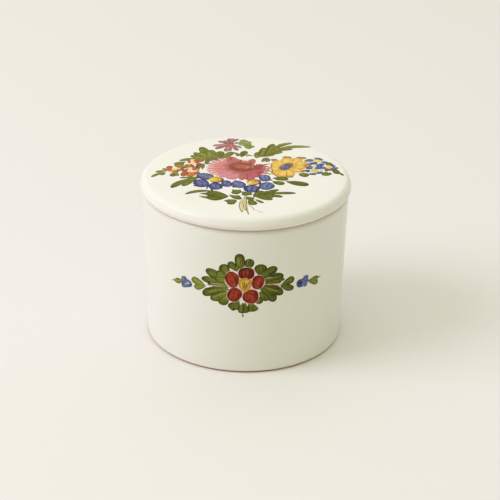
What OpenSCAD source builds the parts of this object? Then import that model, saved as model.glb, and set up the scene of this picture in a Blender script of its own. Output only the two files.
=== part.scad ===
// Butter crock: a glazed jar for water, and a flat lid with a butter bell under it.
// Millimetres, +Z up, origin at the middle of the standing face, front towards -Y.

/* [Crock] */
// Outside diameter at the rim
rim_d = 107; // [104:0.5:110]
// Outside diameter at the base
base_d = 103; // [98:0.5:107]
// Height of the rim above the table
crock_h = 81.3; // [70:0.1:95]
// Thickness of the wall
wall_t = 5; // [4:0.25:6]
// Thickness of the floor
floor_t = 5.5; // [4:0.25:8]
// Depth of the hollow under the floor, inside the foot ring
hollow_h = 1.2; // [0.5:0.1:2.5]

/* [Foot ring] */
// Height of the bare clay ring
foot_h = 0.8; // [0.5:0.1:2]
// Width of the ring, from its outer to its inner edge
foot_w = 6; // [4:0.5:10]
// How far the ring stands in from the base's edge
foot_inset = 0.8; // [0.5:0.1:2]

/* [Lid] */
// Diameter where the side is widest, before it is rounded
lid_d = 110.2; // [109.6:0.2:111.2]
// Diameter of the lower edge
lid_seat_d = 106.8; // [106:0.2:107.6]
// Thickness from the seat to the flat top
lid_t = 7.4; // [7:0.1:9]
// Height of the widest part above the seat
belly_h = 2.8; // [2.6:0.1:3]
// Diameter of the shoulder, before it is rounded
shoulder_d = 106.4; // [105.6:0.2:107.2]
// How far the top falls from its flat middle to the shoulder
fall_h = 0.7; // [0.5:0.1:0.9]
// Diameter of the flat middle
flat_d = 92; // [84:1:94]

/* [Locating ring] */
// Gap between the ring and the crock's mouth
mouth_gap = 1.3; // [0.8:0.1:2]
// Width of the ring
locator_w = 3.8; // [3:0.2:4.6]
// Height of the ring
locator_h = 3.5; // [2:0.25:6]

/* [Butter bell] */
// Outside diameter at its root under the lid
bell_root_d = 70; // [60:1:72]
// Outside diameter at its open mouth
bell_mouth_d = 76; // [64:1:80]
// Length from the lid down to the mouth
bell_h = 56; // [40:1:62]
// Thickness of its wall
bell_t = 4; // [3:0.25:5]

/* [Hidden] */
$fn = 180;

// Small roundings that the glaze leaves on each edge
base_round = 0.7;
rim_outer_round = 2.6;
rim_inner_round = 1.6;
floor_round = 7;
lid_edge_round = 1.3;
belly_round = 3.3;
shoulder_round = 3.7;
locator_round = 1;
bell_lip_round = 1.8;
bell_inner_round = 6;
bell_root_round = 3;

rim_r = rim_d / 2;
base_r = base_d / 2;
floor_z = foot_h + floor_t;
foot_r = base_r - foot_inset;
hollow_r = foot_r - foot_w;
mouth_r = rim_r - wall_t;
inner_base_r = base_r - wall_t;
lid_r = lid_d / 2;
lid_seat_r = lid_seat_d / 2;
lid_top = crock_h + lid_t;
locator_r = mouth_r - mouth_gap;
bell_root_r = bell_root_d / 2;
bell_mouth_r = bell_mouth_d / 2;
bell_mouth_z = crock_h - bell_h;
bell_ceiling_z = crock_h - bell_t;

glaze_colour = [0.95, 0.93, 0.88];
clay_colour = [0.58, 0.35, 0.24];

// How far a cutter reaches past what it cuts
lap = 0.05;
// Each rounding is drawn larger by this factor, so that no sliver is left where it meets a side
overshoot = 1.001;

function unit(v) = v / norm(v);

// The direction into the corner b from its tip, between its neighbours a and c
function into_corner(a, b, c) = unit(unit(a - b) + unit(c - b));

function half_angle(a, b, c) = acos(unit(a - b) * unit(c - b)) / 2;

// The middle of the circle that rounds the corner b, and where it touches the side towards a
function round_centre(a, b, c, r) = b + into_corner(a, b, c) * r / sin(half_angle(a, b, c));
function round_touch(a, b, c, r) = b + unit(a - b) * r / tan(half_angle(a, b, c));

// The tip that rounding the corner b cuts away
module corner_tip(a, b, c, r) {
    centre = round_centre(a, b, c, r);
    difference() {
        polygon([
            round_touch(a, b, c, r),
            b - into_corner(a, b, c) * lap,
            round_touch(c, b, a, r),
            centre
        ]);
        translate(centre)
            circle(r * overshoot);
    }
}

// The space inside the crock, drawn past the rim so that it cuts cleanly
module crock_space() {
    slope = (mouth_r - inner_base_r) / (crock_h - floor_z);
    top_edge = [mouth_r + slope * lap, crock_h + lap];
    floor_edge = [inner_base_r, floor_z];
    floor_middle = [0, floor_z];
    difference() {
        polygon([floor_middle, floor_edge, top_edge, [0, crock_h + lap]]);
        corner_tip(top_edge, floor_edge, floor_middle, floor_round);
    }
}

module crock_profile() {
    ring_inner = [hollow_r, foot_h];
    base_edge = [base_r, foot_h];
    rim_outer = [rim_r, crock_h];
    rim_inner = [mouth_r, crock_h];
    floor_edge = [inner_base_r, floor_z];
    difference() {
        polygon([
            [0, foot_h + hollow_h],
            [hollow_r - hollow_h, foot_h + hollow_h],
            ring_inner,
            base_edge,
            rim_outer,
            [0, crock_h]
        ]);
        crock_space();
        corner_tip(ring_inner, base_edge, rim_outer, base_round);
        corner_tip(base_edge, rim_outer, rim_inner, rim_outer_round);
        corner_tip(rim_outer, rim_inner, floor_edge, rim_inner_round);
    }
}

module crock() {
    color(glaze_colour)
        rotate_extrude()
            crock_profile();
}

// The bare ring leans in towards the table, as a turned foot does
module foot_ring() {
    color(clay_colour)
        rotate_extrude()
            polygon([
                [hollow_r + foot_h / 2, 0],
                [foot_r - foot_h / 2, 0],
                [foot_r, foot_h],
                [hollow_r, foot_h]
            ]);
}

// The side swells out from the seat's edge and rolls over the shoulder into the top
module lid_profile() {
    seat_middle = [0, crock_h];
    seat_edge = [lid_seat_r, crock_h];
    belly = [lid_r, crock_h + belly_h];
    shoulder = [shoulder_d / 2, lid_top - fall_h];
    flat_edge = [flat_d / 2, lid_top];
    top_middle = [0, lid_top];
    difference() {
        polygon([seat_middle, seat_edge, belly, shoulder, flat_edge, top_middle]);
        corner_tip(seat_middle, seat_edge, belly, lid_edge_round);
        corner_tip(seat_edge, belly, shoulder, belly_round);
        corner_tip(belly, shoulder, flat_edge, shoulder_round);
    }
}

module lid() {
    color(glaze_colour)
        rotate_extrude()
            lid_profile();
}

module locating_ring() {
    low = crock_h - locator_h;
    inner_top = [locator_r - locator_w, crock_h];
    outer_top = [locator_r, crock_h];
    outer_low = [locator_r, low];
    inner_low = [locator_r - locator_w, low];
    color(glaze_colour)
        rotate_extrude()
            difference() {
                polygon([inner_top, outer_top, outer_low, inner_low]);
                corner_tip(outer_top, outer_low, inner_low, locator_round);
                corner_tip(outer_low, inner_low, inner_top, locator_round);
            }
}

// The space inside the bell, drawn past its mouth so that it cuts cleanly
module bell_space() {
    lip_inner = [bell_mouth_r - bell_t, bell_mouth_z];
    ceiling_edge = [bell_root_r - bell_t, bell_ceiling_z];
    ceiling_middle = [0, bell_ceiling_z];
    past_lip = lip_inner + unit(lip_inner - ceiling_edge) * lap;
    difference() {
        polygon([ceiling_middle, ceiling_edge, past_lip, [0, past_lip[1]]]);
        corner_tip(past_lip, ceiling_edge, ceiling_middle, bell_inner_round);
    }
}

module bell_profile() {
    root = [bell_root_r, crock_h];
    under_lid = [lid_r, crock_h];
    lip_outer = [bell_mouth_r, bell_mouth_z];
    lip_inner = [bell_mouth_r - bell_t, bell_mouth_z];
    ceiling_edge = [bell_root_r - bell_t, bell_ceiling_z];
    flare_centre = round_centre(under_lid, root, lip_outer, bell_root_round);
    difference() {
        polygon([
            [0, crock_h],
            round_touch(under_lid, root, lip_outer, bell_root_round),
            flare_centre,
            round_touch(lip_outer, root, under_lid, bell_root_round),
            lip_outer,
            [0, bell_mouth_z]
        ]);
        translate(flare_centre)
            circle(bell_root_round * overshoot);
        bell_space();
        corner_tip(root, lip_outer, lip_inner, bell_lip_round);
        corner_tip(lip_outer, lip_inner, ceiling_edge, bell_lip_round);
    }
}

module butter_bell() {
    color(glaze_colour)
        rotate_extrude()
            bell_profile();
}

crock();
foot_ring();
lid();
locating_ring();
butter_bell();
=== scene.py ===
"""Butter crock: an ivory-glazed jar and a flat lid, with flowers painted on both."""

import math
import random

import bmesh
import bpy
from mathutils import Matrix, Vector


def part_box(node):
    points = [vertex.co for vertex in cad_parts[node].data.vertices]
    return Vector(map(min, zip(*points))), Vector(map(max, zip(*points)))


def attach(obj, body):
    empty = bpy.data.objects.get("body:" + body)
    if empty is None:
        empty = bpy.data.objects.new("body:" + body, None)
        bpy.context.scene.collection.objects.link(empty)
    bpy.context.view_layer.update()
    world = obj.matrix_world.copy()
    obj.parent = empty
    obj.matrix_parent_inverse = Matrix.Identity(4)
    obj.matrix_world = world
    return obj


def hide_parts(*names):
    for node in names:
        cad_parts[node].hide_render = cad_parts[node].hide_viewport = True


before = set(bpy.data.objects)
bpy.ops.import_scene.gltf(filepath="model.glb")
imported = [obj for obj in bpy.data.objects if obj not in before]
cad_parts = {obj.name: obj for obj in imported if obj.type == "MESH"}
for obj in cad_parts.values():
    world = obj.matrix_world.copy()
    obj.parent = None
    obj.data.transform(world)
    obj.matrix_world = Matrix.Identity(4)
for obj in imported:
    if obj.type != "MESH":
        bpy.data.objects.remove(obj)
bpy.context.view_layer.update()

MM = 0.001

# Heights and radii of the pieces, from the boxes of their parts in model.glb
CROCK_LOW, CROCK_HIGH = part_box("crock")
GLAZE_END = CROCK_LOW.z
RIM = CROCK_HIGH.z
LID_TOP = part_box("lid")[1].z
FOOT_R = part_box("foot_ring")[1].x
BELL_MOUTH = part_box("butter_bell")[0].z

# Sizes that the boxes don't give, as the solids have them
RIM_R = 53.5 * MM
BASE_R = 51.5 * MM
WALL_T = 5 * MM
FLOOR_T = 5.5 * MM
FOOT_W = 6 * MM
HOLLOW_H = 1.2 * MM
BELLY_R = 55.1 * MM
SHOULDER_R = 53.2 * MM
FLAT_R = 46 * MM
TOP_FALL = 0.7 * MM
BELL_ROOT_R = 35 * MM
BELL_MOUTH_R = 38 * MM
BELL_T = 4 * MM

# The lid's lower edge, which tucks in a little further than the solid's
LID_SEAT_R = 52.7 * MM
BELLY_H = 2 * MM

# How far from each corner its rounding starts
HOLLOW_ROUND = 0.4 * MM
HOLLOW_EDGE_ROUND = 0.3 * MM
BASE_ROUND = 0.7 * MM
RIM_OUTER_ROUND = 3.1 * MM
RIM_INNER_ROUND = 1.57 * MM
FLOOR_ROUND = 7 * MM
SEAT_ROUND = 0.4 * MM
BELLY_ROUND = 1.5 * MM
SHOULDER_ROUND = 2.07 * MM
FLAT_BEND = 4 * MM
BELL_CEILING_ROUND = 6 * MM
BELL_LIP_ROUND = 1.8 * MM
BELL_FLARE = 3 * MM

# How far the bell's root runs on under the lid, past its flare, and how deep it is sunk into the lid
BELL_ROOT_RUN = 0.3 * MM
BELL_SUNK = 0.5 * MM

# Swells of a hand-finished wall: size, number round the wall, lean in radians per metre, and start
SWAYS = ((0.1 * MM, 2, 30, 0.6), (0.06 * MM, 3, -55, 0))

# Throwing rings inside the crock, which fade in above its floor and out below its rim
RING_DEPTH = 0.08 * MM
RING_PITCH = 6 * MM
RINGS_START = 6 * MM
RINGS_FULL = 14 * MM
RINGS_FADE = 8 * MM

# How fine the turned clay is: steps round it and in a rounding, how close points are to be welded into
# one, and the longest side along each outline
TURN_STEPS = 160
ROUND_STEPS = 8
WELD = 0.001 * MM
CROCK_GRAIN = 1.4 * MM
LID_GRAIN = 8 * MM
BELL_GRAIN = 2 * MM

# The camera, as the outlines of the lid and the base place it
CAMERA_DISTANCE = 0.9
CAMERA_ELEVATION = math.radians(26.2)
CAMERA_ROLL = math.radians(0.87)
CAMERA_AIM = Vector((0.00274, 0, 0.045))
CAMERA_LENS_MM = 122.7
CAMERA_SENSOR_MM = 36

# The soft light on the left, and the fill from above
KEY_DISTANCE = 2.4
KEY_AZIMUTH = math.radians(75)
KEY_ELEVATION = math.radians(38)
KEY_SIZE = 1.5
KEY_POWER = 23.85
KEY_COLOUR = (1.0, 0.96, 1.25)
FILL_HORIZON = (0, 0, 0, 1)
FILL_ZENITH = (1.13, 1.155, 0.9, 1)
FILL_BACK = (0.16, 0.07, 0.38, 1)

# The paper floor
FLOOR_R = 6
FLOOR_STEPS = 64


def srgb(red, green, blue):
    """A colour written in 0 to 255 as seen, turned to the linear values that a shader takes."""
    def linear(value):
        value /= 255
        return value / 12.92 if value <= 0.04045 else ((value + 0.055) / 1.055) ** 2.4
    return (linear(red), linear(green), linear(blue), 1)


# The glaze and its specks
GLAZE_PALE = srgb(244, 243, 232)
GLAZE_WARM = srgb(242, 240, 228)
GLAZE_SPECK = srgb(170, 150, 120)

# Bands that tint the glaze: the height where the tint is strongest, where it is gone, and the tint. At
# the base and on the lid's side the glaze runs thin over an edge and the clay shows through
BASE_EDGE = (GLAZE_END, GLAZE_END + 1.5 * MM, srgb(235, 224, 207))
# Painted shade: the top of the crock's wall is darkened just below the lid's overhang, most at the rim
RIM_SHADE = (RIM - 0.4 * MM, RIM - 3.2 * MM, srgb(229, 225, 210))
LID_EDGE = (RIM + 2 * MM, RIM + 6 * MM, srgb(246, 240, 230))

# Bare clay, and the paper and what shows past its edge
CLAY = srgb(150, 96, 68)
CLAY_LIGHT = srgb(176, 122, 90)
CLAY_GRAIN = srgb(112, 70, 52)
PAPER = srgb(238, 235, 229)
PAPER_FIBRE = srgb(237, 234, 228)
BACKDROP = srgb(236, 232, 221)

# The painter's colours
LEAF = srgb(108, 112, 16)
LEAF_DEEP = srgb(82, 86, 16)
LEAF_LIGHT = srgb(146, 152, 62)
SPRING = srgb(122, 142, 40)
OLIVE = srgb(130, 130, 48)
UMBER = srgb(120, 104, 64)
MOSS = srgb(102, 109, 41)
MOSS_DEEP = srgb(62, 66, 24)
MOSS_EDGE = srgb(76, 82, 28)
MOSS_LIGHT = srgb(137, 145, 58)
STEM = srgb(234, 220, 160)
STEM_LINE = srgb(138, 114, 60)
RED = srgb(157, 57, 37)
RED_LIGHT = srgb(177, 75, 51)
RED_DEEP = srgb(102, 40, 30)
BLUE = srgb(88, 93, 148)
BLUE_STEEL = srgb(90, 108, 152)
BLUE_LIGHT = srgb(136, 140, 192)
BLUE_DEEP = srgb(60, 63, 98)
SLATE = srgb(104, 116, 148)
LILAC = srgb(200, 204, 226)
YELLOW = srgb(240, 208, 92)
LEMON = srgb(240, 222, 66)
GOLD = srgb(238, 194, 96)
OCHRE = srgb(208, 160, 52)
AMBER = srgb(196, 138, 66)
TAN = srgb(172, 136, 84)
BROWN = srgb(116, 80, 46)
PEACH = srgb(248, 214, 170)
ORANGE = srgb(204, 114, 58)
RUST = srgb(178, 98, 58)
SALMON = srgb(226, 156, 148)
ROSE = srgb(204, 122, 122)
ROSE_DEEP = srgb(178, 84, 90)
ROSE_LILAC = srgb(210, 138, 158)
HEART = srgb(166, 92, 64)
HEART_LIGHT = srgb(190, 104, 66)
WINE = srgb(128, 62, 58)
BLUSH = srgb(242, 208, 194)
MAUVE = srgb(146, 116, 112)
IVORY = srgb(243, 239, 229)


# Making node trees

def wire(tree, socket, value):
    if isinstance(value, bpy.types.NodeSocket):
        tree.links.new(value, socket)
    else:
        socket.default_value = value


def add(tree, kind, *values, inputs=None, **settings):
    """Adds a shader node; values fill its first inputs in order, inputs fills others by name."""
    made = tree.nodes.new("ShaderNode" + kind)
    for name, value in settings.items():
        setattr(made, name, value)
    for socket, value in zip(made.inputs, values):
        wire(tree, socket, value)
    for name, value in (inputs or {}).items():
        wire(tree, made.inputs[name], value)
    return made


def math_node(tree, operation, *values):
    return add(tree, "Math", *values, operation=operation).outputs[0]


def mix_colour(tree, factor, first, second):
    made = add(tree, "Mix", factor, data_type="RGBA")
    wire(tree, made.inputs[6], first)
    wire(tree, made.inputs[7], second)
    return made.outputs[2]


def noise(tree, vector, scale, detail=2.0, roughness=0.5):
    return add(tree, "TexNoise", inputs={
        "Vector": vector, "Scale": scale, "Detail": detail, "Roughness": roughness}).outputs["Fac"]


def between(tree, value, start, end):
    """0 up to the start, 1 from the end on, and a smooth rise between them; either may be the larger."""
    made = add(tree, "MapRange", value, start, end, 0, 1, interpolation_type="SMOOTHSTEP")
    return made.outputs[0]


def ranged(tree, value, low, high):
    """A value from 0 to 1 turned to one from low to high."""
    return add(tree, "MapRange", value, 0, 1, low, high).outputs[0]


def bumped(tree, shader, height, strength, distance):
    bump = add(tree, "Bump", inputs={"Strength": strength, "Distance": distance, "Height": height})
    wire(tree, shader.inputs["Normal"], bump.outputs[0])


def new_material(name, shine):
    material = bpy.data.materials.new(name)
    material.use_nodes = True
    tree = material.node_tree
    shader = tree.nodes["Principled BSDF"]
    shader.inputs["Specular IOR Level"].default_value = shine
    return material, tree, shader


# Materials

def ivory_glaze(name, *edges):
    """Glossy ivory glaze. Each band is given by the height where its tint is strongest, the height where
    the glaze is
    its own colour again, and the tint: clay showing through where the glaze runs thin, painted shade
    under the rim."""
    material, tree, shader = new_material(name, shine=0.2)
    place = add(tree, "TexCoord").outputs["Object"]
    clouds = noise(tree, place, scale=30)
    tint = mix_colour(tree, clouds, GLAZE_PALE, GLAZE_WARM)
    height = add(tree, "SeparateXYZ", place).outputs["Z"]
    # Each band's tint is mixed in by height; the band under the crock's rim is painted shade
    for strongest, full, clay_or_shade_tint in edges:
        tint = mix_colour(tree, between(tree, height, start=full, end=strongest), tint, clay_or_shade_tint)
    specks = between(tree, noise(tree, place, scale=900, detail=0), start=0.82, end=0.88)
    tint = mix_colour(tree, ranged(tree, specks, low=0, high=0.12), tint, GLAZE_SPECK)
    wire(tree, shader.inputs["Base Color"], tint)
    gloss = ranged(tree, noise(tree, place, scale=60), low=0.18, high=0.28)
    wire(tree, shader.inputs["Roughness"], gloss)
    bumped(tree, shader, noise(tree, place, scale=90, detail=3), strength=0.12, distance=0.3 * MM)
    return material


def bare_clay(name):
    """Fired, unglazed red-brown clay: matte, grainy and unevenly toasted."""
    material, tree, shader = new_material(name, shine=0.5)
    place = add(tree, "TexCoord").outputs["Object"]
    patches = noise(tree, place, scale=120, detail=4)
    grains = noise(tree, place, scale=2500)
    tint = mix_colour(tree, patches, CLAY, CLAY_LIGHT)
    tint = mix_colour(tree, between(tree, grains, start=0.55, end=0.7), tint, CLAY_GRAIN)
    wire(tree, shader.inputs["Base Color"], tint)
    shader.inputs["Roughness"].default_value = 0.85
    bumped(tree, shader, grains, strength=0.5, distance=0.1 * MM)
    return material


def brush_paint(name):
    """Glaze colours laid on with a brush. Each stroke brings its pigment, and where a point lies
    along and across it: the film is streaked along the stroke and pools at its edges, and a thicker
    film is a deeper colour."""
    material, tree, shader = new_material(name, shine=0.05)
    pigment = add(tree, "Attribute", attribute_name="pigment").outputs["Color"]
    stroke = add(tree, "Attribute", attribute_name="stroke")
    along, across, tone = add(tree, "SeparateColor", stroke.outputs["Color"]).outputs
    grain = stroke.outputs["Alpha"]

    lane = add(tree, "CombineXYZ", *(
        math_node(tree, "MULTIPLY", part, stretch)
        for part, stretch in ((along, 1.4), (across, 6), (tone, 60)))).outputs[0]
    hairs = noise(tree, lane, scale=1.5, detail=3, roughness=0.6)
    aside = math_node(tree, "ABSOLUTE", ranged(tree, across, low=-1, high=1))
    pool = math_node(tree, "POWER", aside, 4)
    last = between(tree, along, start=0.8, end=1)
    streak = between(tree, hairs, start=0.34, end=0.66)
    # The film is thin to begin with, and grows by each of these
    film = -0.3
    for part, weight in ((pool, 0.3), (last, 0.25), (streak, 0.5), (tone, 0.08)):
        film = math_node(tree, "MULTIPLY_ADD", part, weight, film)
    depth = math_node(tree, "MULTIPLY_ADD", film, grain, 1)
    wire(tree, shader.inputs["Base Color"], add(tree, "Gamma", pigment, depth).outputs[0])
    shader.inputs["Roughness"].default_value = 0.2
    bumped(tree, shader, hairs, strength=0.15, distance=0.03 * MM)
    return material


def floor_paper(name):
    material, tree, shader = new_material(name, shine=0.1)
    place = add(tree, "TexCoord").outputs["Object"]
    fibres = noise(tree, place, scale=400, detail=3)
    wire(tree, shader.inputs["Base Color"], mix_colour(tree, fibres, PAPER, PAPER_FIBRE))
    shader.inputs["Roughness"].default_value = 0.9
    return material


# Turned clay

def turned(corners, grain):
    """Spins an outline about the axis. A corner is its radius, its height and how far from it a
    rounding starts; sides longer than the grain are halved until they are shorter."""
    bm = bmesh.new()
    verts = [bm.verts.new((radius, 0, height)) for radius, height, _ in corners]
    for pair in zip(verts, verts[1:]):
        bm.edges.new(pair)
    for vert, (_, _, rounding) in zip(verts, corners):
        if rounding:
            bmesh.ops.bevel(bm, geom=[vert], offset=rounding, offset_type="OFFSET",
                            segments=ROUND_STEPS, profile=0.5, affect="VERTICES", material=-1)
    long_sides = bm.edges[:]
    while long_sides:
        long_sides = [edge for edge in bm.edges if edge.calc_length() > grain]
        bmesh.ops.subdivide_edges(bm, edges=long_sides, cuts=1)
    bmesh.ops.spin(bm, geom=bm.verts[:] + bm.edges[:], cent=(0, 0, 0), axis=(0, 0, 1),
                   angle=math.tau, steps=TURN_STEPS, use_merge=True)
    bmesh.ops.remove_doubles(bm, verts=bm.verts, dist=WELD)
    bmesh.ops.recalc_face_normals(bm, faces=bm.faces)
    return bm


def finished(name, bm, material):
    for face in bm.faces:
        face.smooth = True
    mesh = bpy.data.meshes.new(name)
    bm.to_mesh(mesh)
    bm.free()
    mesh.materials.append(material)
    piece = bpy.data.objects.new(name, mesh)
    bpy.context.scene.collection.objects.link(piece)
    return piece


def share(value, low, high):
    return min(max((value - low) / (high - low), 0), 1)


def straight_wall(height):
    """The crock's outside radius at a height, before the wall sways."""
    return BASE_R + (RIM_R - BASE_R) * (height - GLAZE_END) / (RIM - GLAZE_END)


def wall_sway(angle, height):
    """How far a hand-finished wall strays from the true round."""
    return sum(size * math.sin(number * angle + lean * height + start)
               for size, number, lean, start in SWAYS)


def crock_shell(material):
    floor = GLAZE_END + FLOOR_T
    hollow = GLAZE_END + HOLLOW_H
    hollow_r = FOOT_R - FOOT_W
    bm = turned([
        (0, hollow, 0),
        (hollow_r - HOLLOW_H, hollow, HOLLOW_ROUND),
        (hollow_r, GLAZE_END, HOLLOW_EDGE_ROUND),
        (BASE_R, GLAZE_END, BASE_ROUND),
        (RIM_R, RIM, RIM_OUTER_ROUND),
        (RIM_R - WALL_T, RIM, RIM_INNER_ROUND),
        (BASE_R - WALL_T, floor, FLOOR_ROUND),
        (0, floor, 0),
    ], CROCK_GRAIN)
    for vert in bm.verts:
        radius = math.hypot(vert.co.x, vert.co.y)
        if radius < MM:
            continue
        angle = math.atan2(vert.co.x, -vert.co.y)
        height = vert.co.z
        outside = share(radius, straight_wall(height) - WALL_T, straight_wall(height))
        inside = share(height, floor + RINGS_START, floor + RINGS_FULL)
        inside *= share(height, RIM, RIM - RINGS_FADE)
        rings = RING_DEPTH * math.sin(math.tau * height / RING_PITCH + angle)
        moved = outside * wall_sway(angle, height) + (1 - outside) * inside * rings
        vert.co.xy *= 1 + moved / radius
    return finished("crock_shell", bm, material)


def lid_plate(material):
    """The side swells out from the seat's edge and rolls over the shoulder, and the top falls a little
    towards it."""
    bm = turned([
        (0, RIM, 0),
        (LID_SEAT_R, RIM, SEAT_ROUND),
        (BELLY_R, RIM + BELLY_H, BELLY_ROUND),
        (SHOULDER_R, LID_TOP - TOP_FALL, SHOULDER_ROUND),
        (FLAT_R, LID_TOP, FLAT_BEND),
        (0, LID_TOP, 0),
    ], LID_GRAIN)
    return finished("lid_plate", bm, material)


def lid_fall(radius):
    """How far the lid's top has fallen at a distance from the axis; it bends down from the flat middle
    and then runs straight."""
    bend = share(radius, FLAT_R - FLAT_BEND, FLAT_R + FLAT_BEND)
    straight = max(radius - FLAT_R - FLAT_BEND, 0)
    return TOP_FALL / (SHOULDER_R - FLAT_R) * (FLAT_BEND * bend ** 2 + straight)


def bell(material):
    ceiling = RIM - BELL_T
    root_r = BELL_ROOT_R + BELL_FLARE + BELL_ROOT_RUN
    bm = turned([
        (0, ceiling, 0),
        (BELL_ROOT_R - BELL_T, ceiling, BELL_CEILING_ROUND),
        (BELL_MOUTH_R - BELL_T, BELL_MOUTH, BELL_LIP_ROUND),
        (BELL_MOUTH_R, BELL_MOUTH, BELL_LIP_ROUND),
        (BELL_ROOT_R, RIM, BELL_FLARE),
        (root_r, RIM, 0),
        (root_r, RIM + BELL_SUNK, 0),
        (0, RIM + BELL_SUNK, 0),
    ], BELL_GRAIN)
    return finished("bell", bm, material)


# Brushwork. Places and sizes of strokes are in millimetres on the painted face.

# How far a stroke reaches down into the glaze
SUNK = 0.05
# How far the middle of a stroke stands above its edge
FILM = 0.012
# How far each coat lies above the one below
COAT = 0.03
# A stroke's sides and steps, and how much and how often the brush wavers along it
STROKE_SIDES = 8
STROKE_STEPS = 10
WAVER = 0.07
WAVER_RATE = 7
# Below this share of a stroke's thickness, a point belongs to its rim
RIM_SHARE = 0.1
# Nearer than this share of its width to its middle line, a point is one of a stroke's tips
TIP_SHARE = 0.01


def on_lid(x, y, up):
    """A place on the lid's top, x to the right and y to the back."""
    return Vector((x * MM, y * MM, LID_TOP - lid_fall(math.hypot(x, y) * MM) + up * MM))


def on_wall(around, height, up):
    """A place on the crock's front, measured round the wall to the right, and up from the table."""
    angle = around * MM / straight_wall(RIM / 2)
    radius = straight_wall(height * MM) + wall_sway(angle, height * MM) + up * MM
    return Vector((radius * math.sin(angle), -radius * math.cos(angle), height * MM))


class Painting:
    """Brush strokes on one surface, gathered into one piece."""

    def __init__(self, surface, seed):
        self.surface = surface
        self.chance = random.Random(seed)
        self.bm = bmesh.new()
        self.pigment = self.bm.verts.layers.float_color.new("pigment")
        self.stroke = self.bm.verts.layers.float_color.new("stroke")

    def dab(self, colour, coat, start, end, width, bow=0.0, belly=0.7, taper=1.0, grain=1.0,
            into=None, rim=None):
        """One stroke. Coats count up from the glaze. Belly is where along it the brush was pressed
        most, and from there it ends in a round tip. Bow is how far its middle is carried to the left,
        taper is 0.5 for a round start and more for a pointed one, and grain is how strongly the
        brush's hairs show. A loaded brush runs from its colour into a second one, or has a third at
        the stroke's rim."""
        start = Vector(start)
        run = Vector(end) - start
        aside = Vector((-run.y, run.x)).normalized()
        tone = self.chance.random()
        waver = self.chance.uniform(0, math.tau)
        made = bmesh.ops.create_uvsphere(
            self.bm, u_segments=STROKE_SIDES, v_segments=STROKE_STEPS, radius=1)
        rims = set()
        for vert in made["verts"]:
            along = share(vert.co.z, 1, -1)
            ring = math.hypot(vert.co.x, vert.co.y)
            tip = ring < TIP_SHARE
            across = 0 if tip else vert.co.x / ring
            rise = 0 if tip else vert.co.y / ring
            if along > belly:
                full = (1 - ((along - belly) / (1 - belly)) ** 2) ** 0.5
            else:
                full = (1 - ((belly - along) / belly) ** 2) ** taper
            half = width / 2 * full * (1 + WAVER * math.sin(WAVER_RATE * along + waver))
            spot = start + run * along + aside * (across * half + 4 * bow * along * (1 - along))
            if abs(rise) < RIM_SHARE:
                rims.add(vert)
            up = COAT * (coat + 1) + FILM * rise if rise > -RIM_SHARE else -SUNK
            vert.co = self.surface(spot.x, spot.y, up)
            tint = blend(colour, into or colour, along)
            edge = max(abs(across) ** 3, (2 * along - 1) ** 6)
            vert[self.pigment] = blend(tint, rim or tint, edge)
            vert[self.stroke] = (along, across / 2 + 0.5, tone, grain)
        for edge in {edge for vert in rims for edge in vert.link_edges}:
            edge.smooth = not rims.issuperset(edge.verts)

    def dabs(self, colour, coat, *strokes, **shape):
        """Several strokes of one colour, each its start, end and width, and a bow where it bends."""
        for x0, y0, x1, y1, width, *bow in strokes:
            self.dab(colour, coat, (x0, y0), (x1, y1), width, *bow, **shape)

    def spots(self, colour, coat, *touches, **shape):
        """Rounded touches of one colour, each its middle, its length and width, and how many degrees
        its length is turned from the x direction."""
        for x, y, length, width, turn in touches:
            self.dab(colour, coat, polar((x, y), turn, -length / 2), polar((x, y), turn, length / 2),
                     width, belly=0.5, taper=0.5, **shape)

    def finish(self, name, body, material):
        bmesh.ops.recalc_face_normals(self.bm, faces=self.bm.faces)
        piece = finished(name, self.bm, material)
        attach(piece, body)


def polar(middle, angle, reach, squash=1.0):
    """A point at an angle in degrees and a distance from a middle, squashed towards it in y."""
    turn = math.radians(angle)
    return Vector(middle) + Vector((math.cos(turn), math.sin(turn) * squash)) * reach


def blend(first, second, factor):
    return tuple(a + (b - a) * factor for a, b in zip(first, second))


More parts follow.
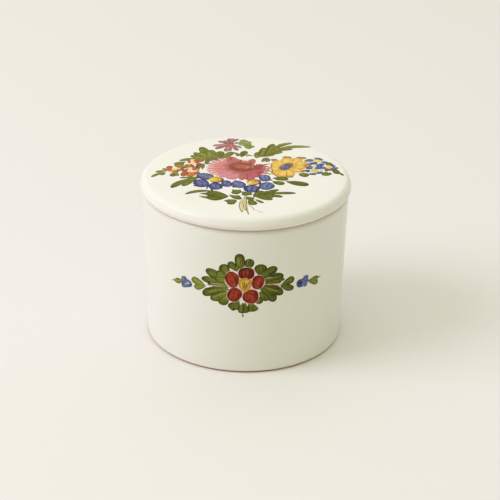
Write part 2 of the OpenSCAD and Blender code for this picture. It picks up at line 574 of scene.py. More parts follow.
def paint_lid_leaves(art):
    # The broad lobed leaf at the back left, brown where it goes under the rose
    art.dabs(OLIVE, 0,
             (-18, 16.5, -24.2, 35.2, 5.6), (-18.5, 17.5, -18.7, 31.4, 4.8),
             (-15.5, 18.5, -13.4, 29.8, 4.8), (-20, 19, -27.8, 27.4, 4.2), (-20, 17.5, -29.4, 23.2, 4),
             (-21, 17, -35.2, 16.2, 3.2, -1.8), (-20.5, 16.5, -22.5, 29, 8), (-16, 18, -17, 26, 7),
             (-22, 16.5, -27, 21, 5), rim=LEAF)
    art.dabs(OLIVE, 1, (-14, 19.5, -7.4, 29.2, 4.4, -0.6), (-13, 20, -9, 24.5, 4), rim=LEAF)
    art.spots(UMBER, 2, (-17.4, 18.8, 9, 5, 15), (-13, 21, 4, 2.6, 20), rim=OLIVE, grain=0.5)
    art.dabs(LEAF, 2, (-20.6, 19, -20.4, 12, 2.8), rim=LEAF_DEEP)
    art.dabs(LEAF, 2,
             (-19.4, 21, -22.8, 30.6, 0.7), (-17.6, 22, -18.4, 28.6, 0.6), (-15, 22, -14, 27.6, 0.6),
             (-21, 20.4, -26, 24.6, 0.6))
    # Touches behind the rose
    art.dabs(LEAF, 1,
             (-10.6, 25.4, -6, 28, 2.8, 0.5), (-6.6, 28.6, -4.2, 23.4, 2.3, 0.6),
             (-2.7, 22, -0.5, 30.6, 4.2), rim=OLIVE)
    art.dabs(LEAF_DEEP, 2, (-2.2, 23.6, -1, 29, 0.6))
    art.dabs(blend(UMBER, IVORY, 0.12), 1,
             (0.3, 22.2, 3.6, 24, 1.8, 1.9), (8, 16, 11.6, 21.6, 3.6), (10.6, 15.6, 12, 19.6, 2.2),
             rim=LEAF_DEEP)
    art.dabs(LEAF, 2, (8.6, 17, 11, 20.6, 1.4))
    # The leaf beside the aster
    art.dabs(blend(LEAF_LIGHT, IVORY, 0.12), 0,
             (-5, 41, 2.8, 42.8, 4.4), (-4.6, 40.6, 0.4, 45.4, 3.4), (-3.6, 41, 2.4, 37.4, 5),
             (-4, 41, -2.6, 38, 2.2), rim=OLIVE, grain=0.6)
    art.dabs(SPRING, 1,
             (-0.8, 41, 1.8, 33.4, 3.6), (0.6, 38.6, 4.3, 35.8, 2.4), rim=LEAF_LIGHT, grain=0.6)
    art.dabs(OLIVE, 2, (-5, 40.6, 1.6, 40.2, 0.7), (-4, 41, 0.2, 44.4, 0.7), (1.8, 38, 2, 34.6, 0.6))
    # The fern at the back right
    art.dabs(OLIVE, 0,
             (5.2, 20.8, 7.2, 29.4, 5), (7.4, 22.5, 9.6, 35.6, 4.2), (10.4, 25, 14.4, 41, 4.2),
             (8.4, 23, 14.6, 27.2, 4), (10, 25, 19.2, 30.6, 3.8), (6.4, 22, 17, 34.5, 7.4), rim=LEAF)
    art.dabs(OLIVE, 1, (13, 30, 24.8, 34.2, 2.6, 0.4), (10, 26, 18, 36, 3.6, -0.6), rim=LEAF)
    art.dabs(OLIVE, 1, (12, 29, 24.6, 43.8, 3.4, 1.6), into=LEAF_LIGHT, rim=OLIVE)
    art.dabs(LEAF, 1, (13, 30.2, 34.8, 38.9, 3.7, 2.4), into=blend(OLIVE, LEAF_LIGHT, 0.5), rim=OLIVE)
    art.dabs(LEAF_DEEP, 2,
             (6, 22.4, 8.6, 33, 0.6), (8.6, 24, 13.4, 38, 0.6), (12, 29, 21, 40.6, 0.5, 1),
             (9, 24, 17, 29, 0.5))
    # Sprays at the left
    art.dabs(LEAF, 0,
             (-24, -5, -37.8, -18.8, 4.1, -1.8), (-25, -6, -32, -16.4, 3.8, -0.4),
             (-24, -4.6, -34, -6.2, 2), (-24, -5, -30, -9.5, 4.2), into=blend(LEAF, LEAF_LIGHT, 0.3),
             rim=LEAF_DEEP)
    # The leaf in two halves at the front left
    art.dabs(LEAF, 0,
             (-8.4, -28.2, -20, -24.6, 6.6, -0.8), (-8.4, -28.4, -19.6, -29.8, 6.4, 1),
             (-23.4, -25.2, -13, -25.6, 3.8), (-23.4, -28.6, -12, -30.2, 3.6, -0.8),
             (-14, -23, -30.4, -26.2, 3, -2.6), rim=LEAF_DEEP)
    art.dabs(LEAF_DEEP, 1,
             (-10, -27.4, -20, -25.4, 0.5), (-10, -29, -19, -30.8, 0.5, 0.4),
             (-11, -26.4, -18, -23.8, 0.4))
    art.dabs(blend(STEM, IVORY, 0.5), 1, (-18.6, -28.2, -23.6, -27.2, 1.1))
    # Touches round the stems
    art.dabs(LEAF, 0,
             (-10.8, -33.4, -4.2, -34.2, 4.6), (-7.6, -32, -6.8, -38, 4), (-8.4, -26.2, -2, -31.4, 3.8),
             (-5.6, -27.2, -3, -29, 3.4), (-6.8, -19.8, -2.6, -24, 4.4), (-2.6, -19.6, -6, -25.2, 4.4),
             (-1.6, -22, 1.4, -26.6, 4.4), (2.6, -22.8, 1.6, -26.4, 3), (0.6, -28.2, 3.8, -32, 3.8),
             (2.2, -31, 4.4, -38.2, 4.8), (4.8, -31, 9, -35.6, 2.2), rim=LEAF_DEEP)
    # The spray at the front right
    art.dabs(LEAF, 0,
             (4, -29, 8.6, -20.8, 4.8), (4.4, -27.4, 15, -21.6, 5.6), (4.6, -27, 15, -26.4, 6.4),
             (5, -28.4, 13.8, -31.2, 3.6), (9, -24, 16.8, -19, 3.2), (9, -24.4, 25.6, -23, 3, 0.4),
             (9, -26, 18.8, -27.8, 3.4, 0.4), rim=LEAF_DEEP)
    art.dabs(LEAF_DEEP, 1,
             (5.6, -27, 8.6, -21.6, 0.6), (6, -27, 13, -22.4, 0.6), (6, -27.4, 13.4, -25, 0.5),
             (6, -28, 12.6, -28.4, 0.6), (7, -25.4, 15.6, -20, 0.5))
    # Leaves at the right
    art.dabs(LEAF, 0,
             (20.2, -8.6, 32.2, -12.8, 5.8), (13.4, -8.8, 19.8, -12.2, 4.8),
             (13.6, -4.8, 21.8, -5.6, 5.2), (20.6, -4.4, 21.2, -7.4, 2), rim=LEAF_DEEP)
    art.dabs(LEAF_DEEP, 1, (21, -9, 31, -12.4, 0.6), (14.4, -9.4, 18.8, -11.6, 0.6))
    # Touches among the small blue florets
    art.dabs(LEAF, 0,
             (27.2, 1.6, 32.4, -1.2, 5.4), (30.2, 4, 31.4, 6.8, 2.2), (45.4, 9.8, 47.8, 2.2, 4),
             (46.6, 8.4, 47.6, 11.2, 2), (48.6, 4.8, 50.4, 0.8, 1.8), (43.5, 4.2, 43.7, 0.6, 1.7),
             rim=LEAF_DEEP)
    art.dabs(OLIVE, 1, (28, 1.4, 31, -0.6, 2.6), (33.6, 11.8, 32.8, 15.4, 3), rim=LEAF)
    art.dabs(blend(SPRING, LEAF_DEEP, 0.4), 0, (41.3, 4.8, 41.5, -0.8, 4.4), rim=LEAF_DEEP)
    # Touches among the orange florets
    art.dabs(LEAF, 0,
             (-41, 0.6, -48.6, -5, 2.7, -0.8), (-40.8, 2.4, -46.8, 1.4, 2.8), (-41, 2.8, -43, 5.8, 2.4),
             (-41.6, 0, -43.8, -3, 2.2), (-35.4, 0.4, -35.2, -3.8, 1.9), (-31.4, 14.8, -37.8, 11.4, 3.5),
             (-32.4, 13, -35, 9.8, 3.2), into=OLIVE, rim=OLIVE)
    art.dabs(UMBER, 0,
             (-37, 0.4, -37.9, -4.6, 3.4), (-24.6, 4.4, -24.2, 13.8, 2.4), (-22.6, 4.8, -22.4, 13, 2.1),
             (-42, -0.2, -44.6, -0.8, 1.8), rim=LEAF)


def paint_stems(art):
    art.dabs(STEM, 0,
             (-0.4, -29.6, -1.1, -46.6, 1.8, -1.5), (0.3, -28, 0.3, -45, 1.3, -0.4),
             (0.7, -29, 1.9, -49, 1, -0.7), belly=0.5, rim=STEM_LINE)
    art.dabs(STEM_LINE, 1,
             (0.6, -22, 0.5, -38, 0.5), (0.8, -31, 1.8, -49, 0.5, -0.9),
             (-0.9, -31, -1.3, -47, 0.35, -1.9), (-0.6, -33, -0.3, -45, 0.3, -0.4),
             (1.3, -38, 4.6, -44, 0.4, 0.5), (0, -23, -0.4, -31, 0.4))
    art.dabs(blend(MAUVE, IVORY, 0.6), 1, (3.6, -43, 9, -47, 0.5))


def paint_rose(art):
    middle = (-4, 7.6)
    heart = (-1.8, 8.8)
    squash = 0.86
    # The washes of the open petals, feathered where they start at the left
    art.spots(ROSE, 1, (-4.8, 5.6, 23, 20.6, 0), rim=SALMON, grain=0.5)
    for step in range(24):
        angle = 112 + step * 6.5
        reach = 16.8 + art.chance.uniform(-0.9, 0.9)
        colour = blend(SALMON, ROSE, art.chance.uniform(0, 0.5))
        art.dab(colour, 2, polar(middle, angle, reach, squash), polar(middle, angle, 4), 4, into=ROSE,
                grain=0.6)
    # Petals behind the heart are brown, those at its right crimson
    art.dabs(blend(ROSE, HEART, 0.6), 3,
             (-5, 9, -8.4, 22.3, 6.4), (-4, 10, -4.4, 18.6, 3.4), (1.8, 9, 3.7, 19.8, 3.8), rim=ROSE,
             grain=0.5)
    art.dabs(blend(SALMON, ROSE, 0.6), 3,
             (-6, 3, -13.6, -3.4, 6), (-4, 1, -8.8, -6.8, 6.6), into=ROSE_LILAC, grain=0.5)
    art.dabs(ROSE_DEEP, 3,
             (3, 8, 9.2, 12.2, 4.2), (3, 6.4, 10.4, 7.6, 5), (3, 4, 9.2, 1.6, 5), rim=ROSE, grain=0.5)
    art.dabs(ROSE_DEEP, 3,
             (1, 4, 6.2, -4, 5.4), (0, 3, 2.6, -8.2, 5.6), into=blend(ROSE, ROSE_DEEP, 0.6), grain=0.5)
    art.dabs(blend(HEART, ROSE, 0.4), 3, (-2, 3, -2, -7.8, 3.6), rim=ROSE, grain=0.5)
    art.dabs(blend(ROSE, ROSE_DEEP, 0.5), 3,
             (6.4, 10.6, 11, 13, 1.6), (7, 9, 11.6, 10.2, 1.6), (7, 7, 11.9, 7, 1.7),
             (7, 5, 11.8, 4, 1.6), (6.6, 3, 11, 1, 1.6), (6, 0.6, 9.6, -2.4, 1.6), grain=0.6)
    art.spots(blend(WINE, ROSE_DEEP, 0.4), 4,
              (7.2, 8.6, 7, 2.6, 75), (7.2, 2.4, 5, 2, 60), rim=ROSE_DEEP, grain=0.5)
    art.spots(blend(ROSE, ROSE_DEEP, 0.4), 4,
              (9.2, 8.4, 4.4, 1.2, 85), (8.8, 4.6, 3.6, 1, 70), (3.8, -1.4, 6, 1.4, 115), rim=ROSE_DEEP,
              grain=0.5)
    # The folded heart: strokes drawn in to it all round, then its middle
    for step in range(22):
        angle = step * 16.4
        right = max(math.cos(math.radians(angle)), 0)
        reach = 10 + art.chance.uniform(-0.9, 0.9) - 2.8 * right
        colour = blend(blend(ROSE, HEART, 0.25), ROSE_DEEP, right)
        art.dab(colour, 4, polar(heart, angle, reach, 0.94), polar(heart, angle, 2.6), 3.6, taper=0.6,
                into=blend(HEART, WINE, 0.4), grain=0.6)
    art.spots(blend(HEART, WINE, 0.5), 5,
              (-2, 9.2, 14.4, 12.8, 0), rim=blend(HEART, WINE, 0.2), grain=0.5)
    art.spots(HEART, 6, (-1.8, 9.4, 10.4, 8.2, 0), rim=blend(HEART, WINE, 0.4), grain=0.6)
    art.spots(HEART_LIGHT, 7, (-1.4, 9, 7, 4.6, 20), rim=HEART, grain=0.6)
    art.spots(blend(HEART_LIGHT, SALMON, 0.4), 8,
              (0.9, 8, 3.6, 2.2, 60), (3.5, 9.6, 6, 1.2, 90), rim=HEART_LIGHT, grain=0.5)
    art.spots(blend(ROSE, HEART, 0.3), 6, (-0.2, 15, 5.4, 2.8, 0), rim=blend(ROSE, HEART, 0.6), grain=0.5)
    art.dabs(blend(HEART, WINE, 0.5), 7,
             (5.2, 4, 5.3, 13, 0.7, -0.3), (5.6, 11.8, 8.6, 10.4, 0.7), (2.2, 14, 2.3, 10.4, 0.3),
             (-3.2, 17.6, -3, 14, 0.6), (-8.4, 17, -7.8, 21.8, 0.4), (5.6, 3.6, 7, -2, 0.5),
             (1, 1.6, 0.6, -7.4, 0.35), (-6.8, 13, -6.6, 6.4, 0.6))
    # The pale gap at the back, and the hairs of white between the strokes at the left
    art.dabs(IVORY, 7, (-5.4, 19.9, 1.8, 18.7, 2, -0.4))
    for step in range(9):
        angle = 128 + step * 13
        art.dab(IVORY, 3, polar(middle, angle, 18, squash), polar(middle, angle, 12.8, squash),
                0.65, belly=0.3)
    # Fine lines out to the daisy
    art.dabs(blend(AMBER, BROWN, 0.4), 3,
             (10.2, 12.4, 12.8, 14, 0.6), (10.8, 9.6, 13.2, 8.6, 0.6), (10.6, 6.4, 13, 3.6, 0.7),
             (9.8, 3.4, 12.8, -0.6, 0.7), (11.6, 10.6, 12.2, 6, 0.6))


def paint_blue_flowers(art):
    for colour, x, y, length, width, turn in (
        (blend(SLATE, UMBER, 0.2), -21, -3.8, 9.2, 8.2, 150), (BLUE, -22.6, -12.6, 10, 8.2, 100),
        (blend(BLUE, BLUE_DEEP, 0.2), -15.3, -15.9, 9.2, 7, 95), (BLUE, -9.7, -12.6, 8.2, 5.8, 100),
        (blend(BLUE, BLUE_LIGHT, 0.3), -3.6, -13.2, 9.4, 6.8, 110),
        (blend(BLUE, BLUE_DEEP, 0.45), 3, -18.6, 9.2, 8.4, 80), (BLUE_STEEL, 10.7, -14.9, 9.8, 7.8, 80),
        (blend(BLUE_STEEL, SLATE, 0.6), 9.7, -4.8, 8.8, 6.4, 100),
    ):
        art.spots(colour, 2, (x, y, length, width, turn), rim=BLUE_DEEP)
        art.spots(blend(colour, BLUE_LIGHT, 0.6), 3,
                  (x - width * 0.14, y + 0.5, length * 0.6, width * 0.26, turn + 8),
                  (x + width * 0.2, y - 0.3, length * 0.44, width * 0.14, turn - 6), rim=colour)
        art.spots(blend(colour, BLUE_DEEP, 0.5), 3,
                  (x + width * 0.03, y - 0.3, length * 0.5, width * 0.08, turn))
    art.spots(SLATE, 4, (-21.4, -1.6, 4.8, 2, 165), rim=BLUE)
    art.spots(BLUE_LIGHT, 4, (-18.6, -4.2, 2.8, 1.2, 110), (8.6, -3.2, 2.6, 1.4, 80), rim=BLUE)
    # The toothed edge, and the dark strokes between the petals
    art.dabs(BLUE_DEEP, 3,
             (-23.6, -9.6, -26.6, -9.2, 1.4), (-24, -12.4, -27, -12.8, 1.6),
             (-23.6, -15, -26.6, -15.8, 1.6), (-18.6, -12, -19.8, -20, 0.8),
             (-17.6, -17, -16.8, -22, 1.2), (-12.4, -13, -12, -19, 0.7), (-4.4, -16.6, -7, -16.4, 1.6),
             (-4.6, -10.4, -5.6, -8, 0.7), (0, -14, -0.6, -17, 0.7), (7.2, -9.4, 7.6, -13, 1.2),
             (12.2, -6.4, 13.6, -7.6, 1.2))
    # The yellow centres
    art.spots(BROWN, 4, (-14.9, -8, 7.4, 7.2, 0), (4.2, -10.4, 7.8, 6.8, 40))
    art.spots(LEMON, 5, (-15.5, -7.9, 6.4, 6.4, 0), into=OCHRE, rim=OCHRE)
    art.spots(YELLOW, 5, (3.7, -10.7, 6.8, 5.8, 40), into=AMBER)
    art.spots(STEM, 6, (2.2, -11.4, 3, 1.8, 60), rim=YELLOW)
    art.spots(BROWN, 6, (-14.2, -8.4, 3.6, 0.4, 85), (5, -9.6, 3, 0.4, 70), rim=OCHRE)


def paint_daisy(art):
    middle = (20.8, 9.8)
    # Toasted tips at the back and the front
    art.spots(TAN, 2,
              (14.9, 18.7, 4.4, 3.2, 150), (21.6, 22.5, 5, 3.2, 0), (29, 22.1, 5.6, 3.2, 0),
              (31.8, 18.4, 3.6, 2.2, 90), (31.2, 11, 4.4, 2.2, 90), (29.6, 4.8, 4, 2.8, 40),
              (22.4, -2.5, 4.4, 2.8, 0))
    for x, y, width in (
        (15.2, 18, 6), (21.7, 21.8, 6.6), (28.2, 21.4, 6.8), (31.4, 16.6, 6.4), (31, 10, 6.2),
        (28.8, 4.2, 6), (23.2, -2, 6), (18.2, -3, 6), (13.6, 0, 5.4), (12.8, 6.6, 5.4), (13.2, 13, 5.4),
    ):
        art.dab(GOLD, 3, middle, (x, y), width, belly=0.72, grain=0.6, rim=blend(GOLD, AMBER, 0.6))
        art.dab(YELLOW, 4, blend(middle, (x, y), 0.3), blend(middle, (x, y), 0.9), width * 0.5, bow=0.4,
                grain=0.5, rim=GOLD)
    art.dabs(AMBER, 5,
             (17, 14.4, 15.6, 18, 0.5), (24.2, 15, 25.2, 20.6, 0.6), (26, 8, 29.4, 6.4, 0.6),
             (21.4, 4, 20.8, -2, 0.6), (16.6, 5, 14.4, 0.6, 0.5))
    art.spots(blend(GOLD, BROWN, 0.4), 5, (25.6, 11, 9, 2.4, 80), (17.2, 4.6, 4, 2, 30), rim=GOLD)
    # The blue centre, its far side in shadow
    art.spots(blend(TAN, UMBER, 0.5), 6, (20.9, 10, 12, 7.6, 62), rim=GOLD, grain=0.6)
    art.spots(UMBER, 7, (21, 9.9, 9.8, 6, 62), (23, 12.4, 5, 3, 70), rim=TAN, grain=0.6)
    art.spots(BLUE, 8, (20.4, 9.3, 7.6, 4.4, 62), rim=blend(BLUE_DEEP, UMBER, 0.5), grain=0.6)
    art.spots(BLUE_LIGHT, 9, (19.4, 10.2, 3.4, 1.8, 60), (21.6, 9.4, 2.6, 0.9, 70), rim=BLUE, grain=0.6)
    art.dabs(blend(AMBER, BROWN, 0.3), 5,
             (13.6, 15.4, 13, 9, 0.8), (13.4, 8, 14, 1, 0.8), (14, 0.6, 17, -3.6, 0.7))


def paint_florets(art):
    # Orange florets at the left: pale throats, and petals crowded round them
    art.spots(blend(PEACH, GOLD, 0.3), 2,
              (-37, 4.6, 6.8, 4.2, 20), (-28.5, 3.2, 8.8, 3.4, 95), (-27.6, 13.2, 6.2, 4.4, 100),
              (-28.1, 16.6, 3.5, 3.1, 0), (-29.4, 11.8, 3, 2.6, 60), (-26.6, 2.6, 3, 2.1, 0),
              (-38.6, 0.6, 3, 1.8, 90))
    art.spots(RUST, 2,
              (-39.8, 7, 4.2, 3.2, 70), (-34, 4.6, 3.8, 3.6, 0), (-31.9, 3, 4.5, 2.9, 100),
              (-32, -1.4, 5.8, 3.4, 80), (-25.6, 0.4, 4, 3.4, 20), (-26.9, 6, 5.2, 3.4, 80),
              (-29.7, 15.4, 4.5, 2.3, 90), (-30.2, 10.6, 4.2, 2.6, 30), (-24.9, 12, 3.8, 2.9, 80),
              rim=blend(RUST, BROWN, 0.4), grain=0.8)
    art.spots(ORANGE, 3,
              (-39.7, 4, 3.8, 2.9, 80), (-28.6, -1.7, 5.8, 4.9, 90), (-26.4, -1.2, 3.2, 2.1, 60),
              rim=RUST)
    art.spots(blend(AMBER, BROWN, 0.3), 2,
              (-37, 1.4, 4.5, 3.9, 90), (-34.7, 8.9, 5.8, 3.6, 160), (-31.4, 8, 4.2, 3.1, 20), rim=OLIVE)
    art.spots(blend(RUST, BROWN, 0.4), 3, (-24.9, 16.4, 5.4, 3.6, 10), rim=RUST)
    art.spots(TAN, 2, (-29.2, 9, 3, 2.6, 0), (-24.8, 3.6, 3.2, 1.3, 80))
    art.spots(BROWN, 4,
              (-32.9, 6.2, 3.2, 1.2, 60), (-27.9, 9.4, 3, 1.3, 120), (-25.6, 8.8, 3.8, 1.3, 80),
              (-30.6, 4.6, 3, 0.9, 80), (-30.2, 0.2, 3.2, 0.9, 85), (-35.4, 2.6, 2.5, 0.9, 120),
              (-26, 14, 2.5, 1, 20))
    # Blue florets at the right
    art.spots(LILAC, 2,
              (34, 17.3, 3.7, 2.7, 0), (36.2, 10.9, 3.4, 2.4, 90), (32.6, 6.8, 2.8, 1.7, 70),
              (36.6, 2.4, 3.4, 2, 30), (39.6, 15.4, 2.8, 1.7, 60), (39.3, 6.8, 3, 1.5, 90),
              (44.6, 9.6, 2.5, 1.7, 40))
    art.spots(SLATE, 3,
              (33.6, 19.1, 4.1, 3.4, 20), (37.8, 21.4, 3.9, 2.9, 10), (39.6, 20.2, 2.3, 2, 60),
              (35.5, 15, 4.4, 2.8, 10), (41.2, 16.7, 3.7, 2.9, 20), (33.4, 9.6, 4.6, 3, 80),
              (34.7, 1.3, 3.9, 2.7, 0), (40.4, 9.6, 3.2, 2.4, 80), (46.1, 9.4, 3, 2.4, 60),
              (45.8, 12.4, 3.2, 1.8, 80), rim=blend(BLUE_DEEP, SLATE, 0.3))
    art.spots(BLUE_STEEL, 3,
              (38, 9.3, 4.1, 3.4, 40), (38.6, 12, 6.2, 2.4, 85), (38.3, 3.1, 3.7, 2.7, 30), rim=BLUE_DEEP)
    art.spots(BLUE_DEEP, 4,
              (39.8, 13.3, 2.8, 2.1, 20), (32.2, 8.6, 2.3, 1.7, 60), (32.2, 4.9, 2.8, 2.2, 80),
              (37.2, 12.4, 2.3, 1.2, 80), (36.6, 9, 2.1, 1.2, 30), (34.8, 15.4, 2.3, 1.2, 0), rim=SLATE)
    art.spots(blend(BROWN, MAUVE, 0.4), 3,
              (42.1, 7, 3.9, 2.7, 80), (44.2, 7.6, 3.2, 1.8, 70), (36.4, 16.4, 2.3, 1.1, 80))
    art.spots(YELLOW, 4, (37.4, 18.5, 3.9, 3.2, 0), (43, 11.2, 3.9, 2.7, 80), rim=STEM)
    art.spots(blend(LEMON, SPRING, 0.35), 4, (35.6, 5.7, 4.8, 4.1, 90), rim=STEM)
    art.dabs(LEAF, 4,
             (42.9, 12.4, 44, 17, 2.4), (42.2, 13, 42.6, 16, 1.4), (44, 11.6, 45.2, 15.6, 1.5),
             rim=LEAF_DEEP)


def paint_aster(art):
    middle = (-8.8, 39.8)
    art.spots(blend(HEART, MAUVE, 0.5), 1, (-9, 39.6, 6.6, 5, 80), rim=MAUVE, grain=0.8)
    for x, y, width in (
        (-15.2, 43.8, 2.8), (-12.4, 44.8, 2.2), (-9.2, 48.6, 3), (-7.2, 48.4, 2.2), (-18, 37.3, 2.5),
        (-16.6, 32.9, 3.3), (-11, 29.4, 3), (-8.6, 30.4, 2), (-4.6, 31, 2.4), (-2.6, 34.8, 2.1),
    ):
        art.dab(ROSE, 1, middle, (x, y), width, belly=0.75, taper=0.7, into=MAUVE, grain=0.8)
    art.dabs(blend(MAUVE, STEM_LINE, 0.5), 1,
             (-7.6, 42, -4.6, 48, 1.8), (-4.4, 44.4, -0.8, 46.6, 1.2), (-6.4, 40, -4.6, 42.6, 2))
    art.dabs(SALMON, 2,
             (-9.3, 37, -10.6, 31.4, 0.9), (-8.4, 37, -5.8, 33, 0.7), (-11, 38, -15.4, 37.4, 0.7),
             rim=ROSE)
    art.dabs(blend(WINE, MAUVE, 0.4), 3,
             (-9, 39, -14.6, 34.2, 0.5), (-9, 40, -9.2, 46.6, 0.5), (-8, 39, -5.2, 32.4, 0.4),
             (-9.6, 38, -11.6, 31, 0.4), (-10, 40.6, -12.4, 41, 1.4))


def paint_sprig_leaves(art):
    # Leaves above the flower
    art.dabs(MOSS, 0,
             (-1.6, 59, -2.5, 69, 5.4), (1.4, 60, 3.2, 66.2, 4.8), (-2.4, 59, -7.8, 64, 3.8),
             (-2, 59, -4.6, 62, 4), rim=MOSS_EDGE)
    # Fans of strokes at the left and the right
    art.dabs(MOSS_LIGHT, 0,
             (-7, 56, -11.4, 62.2, 5.2), (-7, 55.4, -14, 57.4, 4.4), (-7, 53, -19.4, 58.2, 5.2),
             (-7, 52.6, -14.6, 54.4, 5), (-7, 51.2, -21.8, 52.8, 3.8, -0.4), (-7, 50.8, -18.6, 50.4, 2.4),
             (-7, 48.8, -21.4, 44, 4.8, -0.8), (-7, 48.4, -18, 47.6, 3), (-7, 47.4, -17, 41.8, 4.8),
             (-7, 45.6, -12.4, 40, 5.6), (-7, 49.8, -16, 49.6, 2.6), into=MOSS, rim=MOSS_EDGE)
    art.dabs(MOSS, 0,
             (7.6, 56.2, 8.6, 63, 6.2), (8, 56.4, 16.6, 60.2, 4.6), (8, 55.6, 13.4, 57.2, 3),
             (8.6, 54, 20.2, 55, 5), (8.6, 53.4, 20.8, 53, 2.2), (8, 50.6, 20.2, 45, 5.2, 0.6),
             (8, 49.4, 17.6, 46.4, 4), (8, 48.8, 16.4, 41.6, 5.2, 0.4), (7.6, 47.4, 12.6, 42.4, 4.4),
             (6.6, 45, 8.6, 40.6, 4), (8.6, 52.2, 19, 52, 2.2), (8.6, 51, 15, 50.6, 2),
             (9, 56, 12, 57.6, 3), rim=MOSS_EDGE)
    # Blunt leaves below
    art.dabs(MOSS, 0,
             (-2, 42.4, -7, 37.6, 4.6), (-2.4, 42.4, -4.4, 37.4, 4), (-0.4, 41.6, -1.2, 35.2, 3.6),
             (0.6, 41.6, 1, 35.4, 3.4), (2.6, 41.6, 3.8, 36.2, 3.6), (3.6, 41.6, 6, 36.4, 3.6),
             belly=0.88, rim=MOSS_EDGE)
    # Lights along the leaves, and the dark lines between them
    art.dabs(MOSS_LIGHT, 1,
             (-8, 53.6, -18, 57.2, 1.2), (-8, 51.4, -19, 52.2, 0.8), (-8, 49, -19, 45.2, 1.2, -0.5),
             (-8.4, 57, -10.8, 60.6, 1.4), (9, 50, 18, 46, 1, 0.4), (10, 54.4, 18, 55, 0.9),
             (-2.2, 61, -3.2, 67.4, 1.4), rim=MOSS)
    art.dabs(MOSS_DEEP, 1,
             (-8, 52.2, -20.6, 51.4, 0.5), (-8, 49.6, -19.6, 47.6, 0.5), (-8, 48, -17, 44.2, 0.5),
             (-8, 54.6, -15.6, 55.8, 0.5), (9, 51, 19.6, 47.4, 0.5), (9, 49, 16.8, 44, 0.5),
             (9, 53, 20, 53.8, 0.5), (9, 55, 14.8, 58, 0.5), (9, 48, 13.6, 43, 0.5),
             (2, 61, 3.4, 65, 0.5), (-0.2, 41, 0, 36, 0.5), (2.2, 41, 2.6, 36.4, 0.5),
             (9.6, 54.6, 17.6, 56.4, 0.4))
    art.spots(UMBER, 1, (-0.6, 64.8, 6, 1.2, 92), rim=MOSS_DEEP)
    # Fine lines out to the leaf pairs
    art.dabs(BLUSH, 2,
             (9, 51.6, 20, 50.8, 0.35), (9.4, 54.8, 14, 55.2, 0.25), (-9, 50.4, -20.4, 49.2, 0.3),
             (-10, 51, -17, 51.2, 0.2))
    art.dabs(RUST, 2, (9, 51.2, 19.6, 50, 0.3), (9.4, 53.8, 17, 53.4, 0.2))
    # Leaf pairs, and a calyx behind each bud
    art.dabs(blend(MOSS_LIGHT, LEAF_LIGHT, 0.4), 1,
             (-19.6, 48.6, -27.4, 51.2, 4, -0.3), (-19.6, 48.4, -26, 46.8, 3.2), rim=MOSS)
    art.dabs(MOSS, 1, (18.6, 49.4, 26, 52.8, 4.2), (18.6, 49.2, 26, 46.8, 3.6), rim=MOSS_EDGE)
    art.dabs(blend(MOSS, MOSS_LIGHT, 0.4), 1,
             (34.6, 48.8, 41.8, 48.4, 2.6), (34.6, 48.4, 41.6, 45.6, 2.8), (36, 48.4, 41, 47.2, 2.6),
             (41, 48.4, 43.4, 48.4, 0.7), into=MOSS_LIGHT, rim=MOSS)
    art.dabs(blend(MOSS_LIGHT, LEAF_LIGHT, 0.6), 1,
             (-32.6, 48.4, -38.2, 46.5, 3), (-37, 47, -40, 46.4, 0.8), rim=MOSS)
    art.dabs(STEM_LINE, 1, (-0.4, 35.6, -0.4, 33, 0.8))


def paint_sprig_flower(art):
    art.spots(BLUSH, 1, (0.5, 51.4, 14, 13.4, 90))
    for colour, x, y, length, width, turn in (
        (blend(RED, RED_LIGHT, 0.4), -5.9, 54.3, 9.2, 6.8, 100),
        (blend(RED, RED_DEEP, 0.6), 1.1, 58, 6.9, 8.4, 90), (RED, 7, 52.9, 8, 6.4, 80),
        (RED, 3.5, 44.8, 8.2, 8, 300), (RED, -4.7, 45.8, 8.2, 7.4, 240),
    ):
        art.spots(BLUSH, 2, (x, y, length + 0.6, width + 0.6, turn))
        art.spots(colour, 3, (x, y, length, width, turn), rim=RED_DEEP)
        art.spots(blend(colour, RED_LIGHT, 0.8), 4,
                  (x - width * 0.16, y + 0.2, length * 0.5, width * 0.16, 90),
                  (x + width * 0.08, y + 0.5, length * 0.4, width * 0.1, 90), rim=colour)
        art.spots(RED_DEEP, 4, (x + width * 0.24, y - 0.3, length * 0.5, width * 0.1, 90), rim=colour)
    art.spots(MOSS_DEEP, 4, (0.8, 60.6, 5.6, 1.2, 0), rim=RED_DEEP)
    # The yellow centre comes to a point below, and stamens fan out on it
    art.spots(BLUSH, 4, (0.5, 51.8, 7.6, 6.4, 90))
    art.dabs(blend(OCHRE, YELLOW, 0.25), 5, (0.5, 47.2, 0.6, 55.4, 6.6), belly=0.66, taper=0.8, rim=AMBER)
    art.spots(YELLOW, 6, (-1.2, 51.8, 3, 1.2, 95), (1.6, 53.8, 2, 1.2, 20), rim=OCHRE)
    art.dabs(BROWN, 7,
             (0.2, 49, -0.9, 53, 0.4), (0.4, 49, 0.2, 53.4, 0.4), (0.7, 49, 1.2, 52.6, 0.4),
             (0.9, 49.4, 2.4, 53, 0.4))


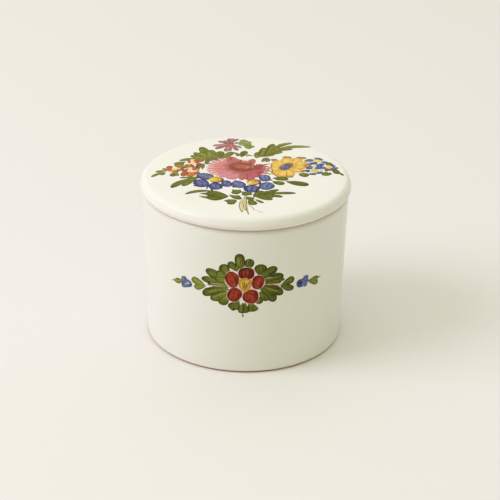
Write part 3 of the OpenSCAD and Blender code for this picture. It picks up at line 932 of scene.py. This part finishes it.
def paint_sprig_buds(art):
    # The left bud is pale, and wider where it leaves its calyx
    art.dabs(blend(SLATE, OLIVE, 0.4), 2, (-33.6, 45.4, -31.2, 51.2, 3.4), rim=SLATE)
    art.dabs(blend(SLATE, OLIVE, 0.12), 2,
             (-33.4, 44.6, -27.4, 48.6, 4, 0.4), (-32.2, 48.4, -27.8, 48.8, 2.6), rim=SLATE)
    art.dabs(LILAC, 3, (-31.6, 46.8, -28.6, 48.4, 1), rim=BLUE_LIGHT)
    art.dabs(BLUE, 3, (-33.2, 45.2, -32.2, 48.4, 1.2), (-31.6, 50.6, -29.6, 49.4, 0.8), rim=SLATE)
    # The right bud ends in a dark tip
    art.dabs(blend(BLUE_STEEL, BLUE_LIGHT, 0.5), 2,
             (35, 49.2, 27.5, 48.6, 5, 0.2), (30.6, 49.4, 34.6, 51.6, 3), (30.6, 47.8, 34.2, 47, 2.6),
             rim=BLUE_STEEL, taper=0.7)
    art.dabs(blend(BLUE_STEEL, BLUE_LIGHT, 0.6), 3,
             (31, 49.2, 34.2, 51.2, 1.4), (31, 48.4, 34.2, 48.6, 1.1), rim=BLUE_STEEL)
    art.spots(BLUE_DEEP, 4, (29.4, 48.7, 3, 3.2, 10), rim=BLUE)


# Each painting's name, the body that it rides on, the face that it is on, and its strokes
PAINTINGS = (
    ("lid_leaves", "lid", on_lid, paint_lid_leaves),
    ("lid_stems", "lid", on_lid, paint_stems),
    ("lid_rose", "lid", on_lid, paint_rose),
    ("lid_blue_flowers", "lid", on_lid, paint_blue_flowers),
    ("lid_daisy", "lid", on_lid, paint_daisy),
    ("lid_florets", "lid", on_lid, paint_florets),
    ("lid_aster", "lid", on_lid, paint_aster),
    ("sprig_leaves", "crock", on_wall, paint_sprig_leaves),
    ("sprig_flower", "crock", on_wall, paint_sprig_flower),
    ("sprig_buds", "crock", on_wall, paint_sprig_buds),
)


# Stage

def add_floor():
    bm = bmesh.new()
    bmesh.ops.create_circle(bm, cap_ends=True, segments=FLOOR_STEPS, radius=FLOOR_R)
    floor = finished("floor", bm, floor_paper("floor_paper"))


def add_key_light():
    data = bpy.data.lights.new("key", "AREA")
    data.shape = "DISK"
    data.size = KEY_SIZE
    data.energy = KEY_POWER
    data.color = KEY_COLOUR
    lamp = bpy.data.objects.new("key", data)
    bpy.context.scene.collection.objects.link(lamp)
    reach = KEY_DISTANCE * math.cos(KEY_ELEVATION)
    away = Vector((-reach * math.sin(KEY_AZIMUTH), -reach * math.cos(KEY_AZIMUTH),
                   KEY_DISTANCE * math.sin(KEY_ELEVATION)))
    lamp.location = away
    lamp.rotation_euler = away.to_track_quat("Z", "Y").to_euler()


def add_fill_light():
    """Soft light from above that fades towards the horizon, as under a pale ceiling, and a little
    from a wall behind. The camera and the gloss see a plain pale backdrop instead."""
    world = bpy.data.worlds.new("room")
    bpy.context.scene.world = world
    world.use_nodes = True
    tree = world.node_tree
    ray = add(tree, "TexCoord").outputs["Generated"]
    parts = add(tree, "SeparateXYZ", ray).outputs
    sky = mix_colour(tree, math_node(tree, "MAXIMUM", parts["Z"], 0), FILL_HORIZON, FILL_ZENITH)
    glow = mix_colour(tree, math_node(tree, "MAXIMUM", parts["Y"], 0), FILL_HORIZON, FILL_BACK)
    both = add(tree, "VectorMath", sky, glow, operation="ADD").outputs[0]
    path = add(tree, "LightPath").outputs
    seen = math_node(tree, "MAXIMUM", path["Is Camera Ray"], path["Is Glossy Ray"])
    seen = math_node(tree, "MAXIMUM", seen, path["Is Transmission Ray"])
    wire(tree, tree.nodes["Background"].inputs["Color"], mix_colour(tree, seen, both, BACKDROP))


def add_camera():
    data = bpy.data.cameras.new("camera")
    data.lens = CAMERA_LENS_MM
    data.sensor_width = CAMERA_SENSOR_MM
    camera = bpy.data.objects.new("camera", data)
    bpy.context.scene.collection.objects.link(camera)
    back = Vector((0, -math.cos(CAMERA_ELEVATION), math.sin(CAMERA_ELEVATION)))
    camera.location = CAMERA_AIM + back * CAMERA_DISTANCE
    look = back.to_track_quat("Z", "Y").to_matrix()
    camera.rotation_euler = (look @ Matrix.Rotation(CAMERA_ROLL, 3, "Z")).to_euler()
    bpy.context.scene.camera = camera


def main():
    bpy.context.scene.view_settings.view_transform = "Standard"
    add_camera()
    add_key_light()
    add_fill_light()
    add_floor()

    # The crock's glaze runs thin at the foot, and has painted shade just under the rim where the lid
    # overhangs
    glaze = ivory_glaze("glaze", BASE_EDGE, RIM_SHADE)
    glaze_on_lid = ivory_glaze("glaze_on_lid", LID_EDGE)
    glaze_under_lid = ivory_glaze("glaze_under_lid")
    clay = bare_clay("bare_clay")
    paint = brush_paint("brush_paint")

    for piece, node, body in (
        (crock_shell(glaze), "crock", "crock"),
        (lid_plate(glaze_on_lid), "lid", "lid"),
        (bell(glaze_under_lid), "butter_bell", "lid"),
    ):
        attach(piece, body)
        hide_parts(node)
    for node, material in (("foot_ring", clay), ("locating_ring", glaze_under_lid)):
        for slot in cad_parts[node].material_slots:
            slot.material = material

    for seed, (name, body, surface, paint_strokes) in enumerate(PAINTINGS, start=1):
        art = Painting(surface, seed)
        paint_strokes(art)
        art.finish(name, body, paint)


main()
